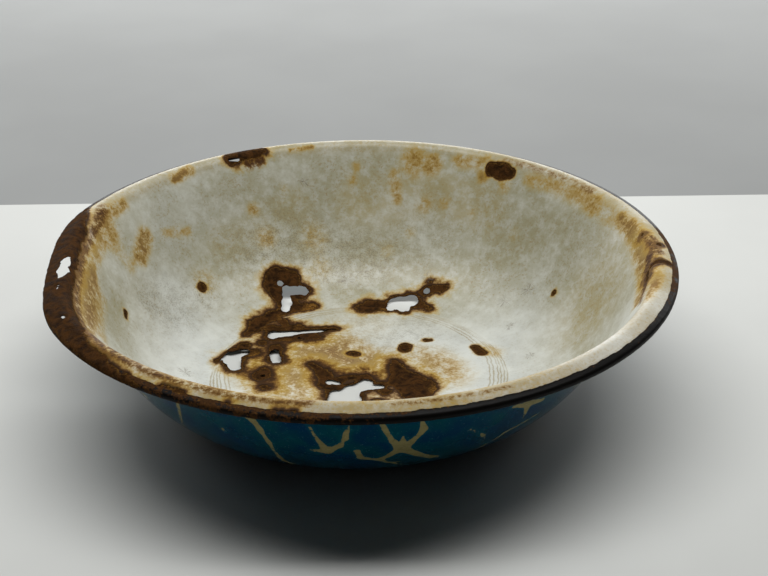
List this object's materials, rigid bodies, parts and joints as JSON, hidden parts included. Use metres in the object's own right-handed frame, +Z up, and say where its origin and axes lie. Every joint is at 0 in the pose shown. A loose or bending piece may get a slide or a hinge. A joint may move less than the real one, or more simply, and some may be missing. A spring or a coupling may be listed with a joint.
{
  "type": "enamelled basin",
  "caption": "Round enamelled steel wash basin with a flared wall, rolled wired rim, a knocked-in edge and rust holes through its floor, cove and lip.",
  "frame": {"origin": "middle of the basin's box on the plane it rests on; the basin's own axis stands 2.6 mm to its left, because the rim is knocked in on that side", "axes": "+Z up out of the bowl, -Y towards the front as seen in the picture, +X to the right"},
  "size_m": [0.3508, 0.356, 0.081],
  "materials": {
    "rusted_steel": "bare pressed sheet, rusted dark brown with orange edges",
    "white_enamel": "glossy vitreous enamel, greyed and stained ochre, cream on the lip",
    "blue_enamel": "glossy deep blue-green vitreous enamel with cream veins",
    "dark_enamel": "near-black vitreous enamel, worn to brown rust in places"
  },
  "bodies": {
    "root": {"steel_pan": "rusted_steel", "rim_wire": "rusted_steel", "inner_enamel": "white_enamel", "outer_enamel": "blue_enamel", "rim_enamel": "dark_enamel"}
  },
  "joints": []
}
